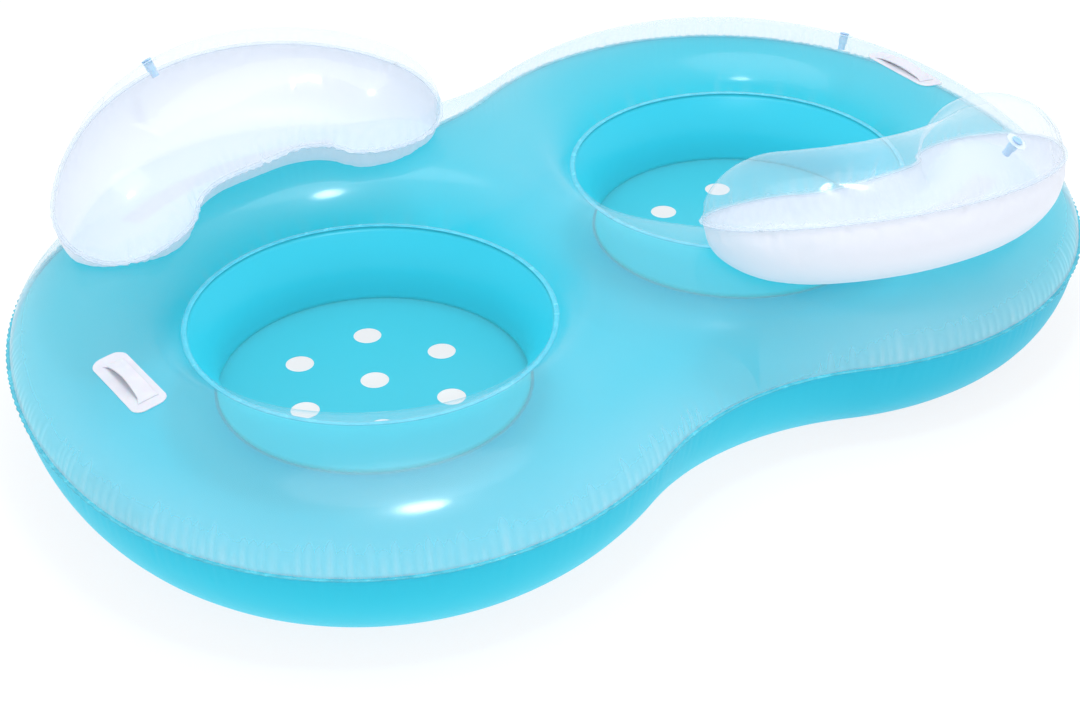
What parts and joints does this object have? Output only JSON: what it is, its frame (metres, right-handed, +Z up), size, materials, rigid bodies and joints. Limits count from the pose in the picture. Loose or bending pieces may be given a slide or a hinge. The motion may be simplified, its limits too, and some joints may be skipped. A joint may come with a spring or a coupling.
{
  "type": "inflatable pool raft",
  "caption": "Figure-eight pool raft with a clear top and a turquoise bottom: round seat wells with drain holes, kidney-shaped air backrests, moulded grab handles and push-in valves.",
  "frame": {"origin": "on the ground under the raft's middle, centre of the bounding box's base", "axes": "+X along the raft from one ring to the other, +Y across it, +Z up"},
  "size_m": [1.8704, 1.2338, 0.442],
  "materials": {
    "clear_vinyl": "clear, smooth, soft PVC sheet",
    "turquoise_vinyl": "opaque turquoise soft PVC sheet, smooth with a soft sheen",
    "white_vinyl": "opaque white soft PVC sheet, smooth with a soft sheen",
    "seam_vinyl": "welded sheet edges, clear over turquoise or white",
    "handle_vinyl": "moulded off-white soft PVC",
    "valve_ring_vinyl": "clear moulded soft PVC ring",
    "valve_vinyl": "moulded pale blue soft PVC"
  },
  "bodies": {
    "raft": {"top_sheet": "clear_vinyl", "bottom_sheet": "turquoise_vinyl", "seam_flange": "seam_vinyl", "well_left_rim": "turquoise_vinyl", "well_right_rim": "turquoise_vinyl", "well_left_wall": "turquoise_vinyl", "well_right_wall": "turquoise_vinyl", "well_left_floor": "turquoise_vinyl", "well_right_floor": "turquoise_vinyl", "handle_left_patch": "handle_vinyl", "handle_right_patch": "handle_vinyl", "handle_left_grip": "handle_vinyl", "handle_right_grip": "handle_vinyl", "backrest_left_strip": "turquoise_vinyl", "backrest_right_strip": "turquoise_vinyl", "raft_valve_ring": "valve_ring_vinyl"},
    "left_backrest": {"backrest_left_top": "clear_vinyl", "backrest_left_under": "white_vinyl", "backrest_left_seam": "seam_vinyl", "backrest_left_valve_ring": "valve_ring_vinyl"},
    "right_backrest": {"backrest_right_top": "clear_vinyl", "backrest_right_under": "white_vinyl", "backrest_right_seam": "seam_vinyl", "backrest_right_valve_ring": "valve_ring_vinyl"},
    "raft_valve_stem": {"raft_valve_stem": "valve_vinyl"},
    "raft_valve_plug": {"raft_valve_plug": "valve_vinyl"},
    "left_valve_stem": {"backrest_left_valve_stem": "valve_vinyl"},
    "left_valve_plug": {"backrest_left_valve_plug": "valve_vinyl"},
    "right_valve_stem": {"backrest_right_valve_stem": "valve_vinyl"},
    "right_valve_plug": {"backrest_right_valve_plug": "valve_vinyl"}
  },
  "joints": [
    {"name": "left_backrest_lean", "type": "hinge", "parent": "raft", "child": "left_backrest", "pos_m": [-0.3843, 0.445, 0.27], "axis": [-1, 0, 0], "range_deg": [0, 12], "stiffness_Nm_per_rad": 8},
    {"name": "right_backrest_lean", "type": "hinge", "parent": "raft", "child": "right_backrest", "pos_m": [0.3843, -0.445, 0.27], "axis": [1, 0, 0], "range_deg": [0, 12], "stiffness_Nm_per_rad": 8},
    {"name": "raft_valve_slide", "type": "slide", "parent": "raft", "child": "raft_valve_stem", "axis": [0.3021, 0.0827, 0.9497], "range_m": [0, 0.018]},
    {"name": "raft_plug_pull", "type": "slide", "parent": "raft_valve_stem", "child": "raft_valve_plug", "axis": [0.3021, 0.0827, 0.9497], "range_m": [0, 0.025]},
    {"name": "left_valve_slide", "type": "slide", "parent": "left_backrest", "child": "left_valve_stem", "axis": [-0.2376, 0.4416, 0.8652], "range_m": [0, 0.018]},
    {"name": "left_plug_pull", "type": "slide", "parent": "left_valve_stem", "child": "left_valve_plug", "axis": [-0.2376, 0.4416, 0.8652], "range_m": [0, 0.025]},
    {"name": "right_valve_slide", "type": "slide", "parent": "right_backrest", "child": "right_valve_stem", "axis": [0.2376, -0.4416, 0.8652], "range_m": [0, 0.018]},
    {"name": "right_plug_pull", "type": "slide", "parent": "right_valve_stem", "child": "right_valve_plug", "axis": [0.2376, -0.4416, 0.8652], "range_m": [0, 0.025]}
  ]
}
